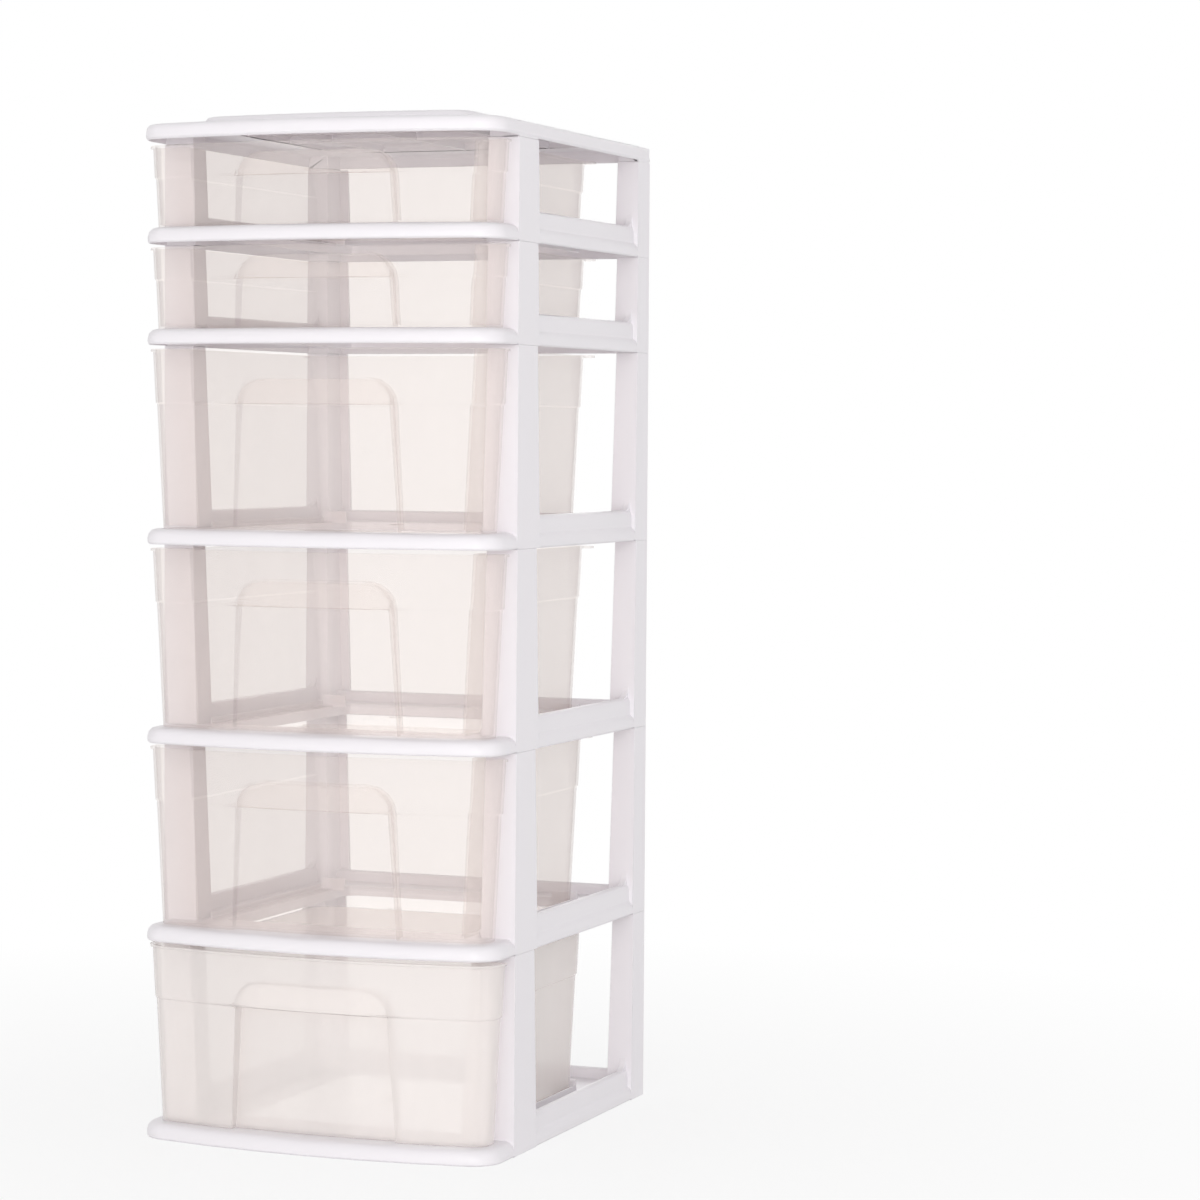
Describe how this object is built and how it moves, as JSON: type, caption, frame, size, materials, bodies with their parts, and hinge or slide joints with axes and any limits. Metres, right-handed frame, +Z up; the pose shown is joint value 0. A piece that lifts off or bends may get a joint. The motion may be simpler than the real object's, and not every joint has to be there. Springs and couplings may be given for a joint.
{
  "type": "drawer tower",
  "caption": "Tall narrow plastic drawer tower: white moulded frames stacked on their posts, clear drawers with bowed fronts and arched finger pulls, flat raised cover",
  "frame": {"origin": "on the floor under the middle of the footprint", "axes": "+X to the right of someone who faces the drawers, +Y towards the back, +Z up; the drawers open towards -Y"},
  "size_m": [0.323, 0.364, 0.8485],
  "materials": {
    "white_frame": "satin moulded polypropylene",
    "clear_drawer": "clear, faintly milky moulded polypropylene"
  },
  "bodies": {
    "frame": {"deep_frame_1": "white_frame", "deep_frame_2": "white_frame", "deep_frame_3": "white_frame", "deep_frame_4": "white_frame", "shallow_frame_1": "white_frame", "shallow_frame_2": "white_frame", "top_cover": "white_frame"},
    "deep_drawer_1": {"deep_drawer_1": "clear_drawer"},
    "deep_drawer_2": {"deep_drawer_2": "clear_drawer"},
    "deep_drawer_3": {"deep_drawer_3": "clear_drawer"},
    "deep_drawer_4": {"deep_drawer_4": "clear_drawer"},
    "shallow_drawer_1": {"shallow_drawer_1": "clear_drawer"},
    "shallow_drawer_2": {"shallow_drawer_2": "clear_drawer"}
  },
  "joints": [
    {"name": "deep_drawer_1_slide", "type": "slide", "parent": "frame", "child": "deep_drawer_1", "axis": [0, -1, 0], "range_m": [0, 0.195]},
    {"name": "deep_drawer_2_slide", "type": "slide", "parent": "frame", "child": "deep_drawer_2", "axis": [0, -1, 0], "range_m": [0, 0.195]},
    {"name": "deep_drawer_3_slide", "type": "slide", "parent": "frame", "child": "deep_drawer_3", "axis": [0, -1, 0], "range_m": [0, 0.195]},
    {"name": "deep_drawer_4_slide", "type": "slide", "parent": "frame", "child": "deep_drawer_4", "axis": [0, -1, 0], "range_m": [0, 0.195]},
    {"name": "shallow_drawer_1_slide", "type": "slide", "parent": "frame", "child": "shallow_drawer_1", "axis": [0, -1, 0], "range_m": [0, 0.195]},
    {"name": "shallow_drawer_2_slide", "type": "slide", "parent": "frame", "child": "shallow_drawer_2", "axis": [0, -1, 0], "range_m": [0, 0.195]}
  ]
}
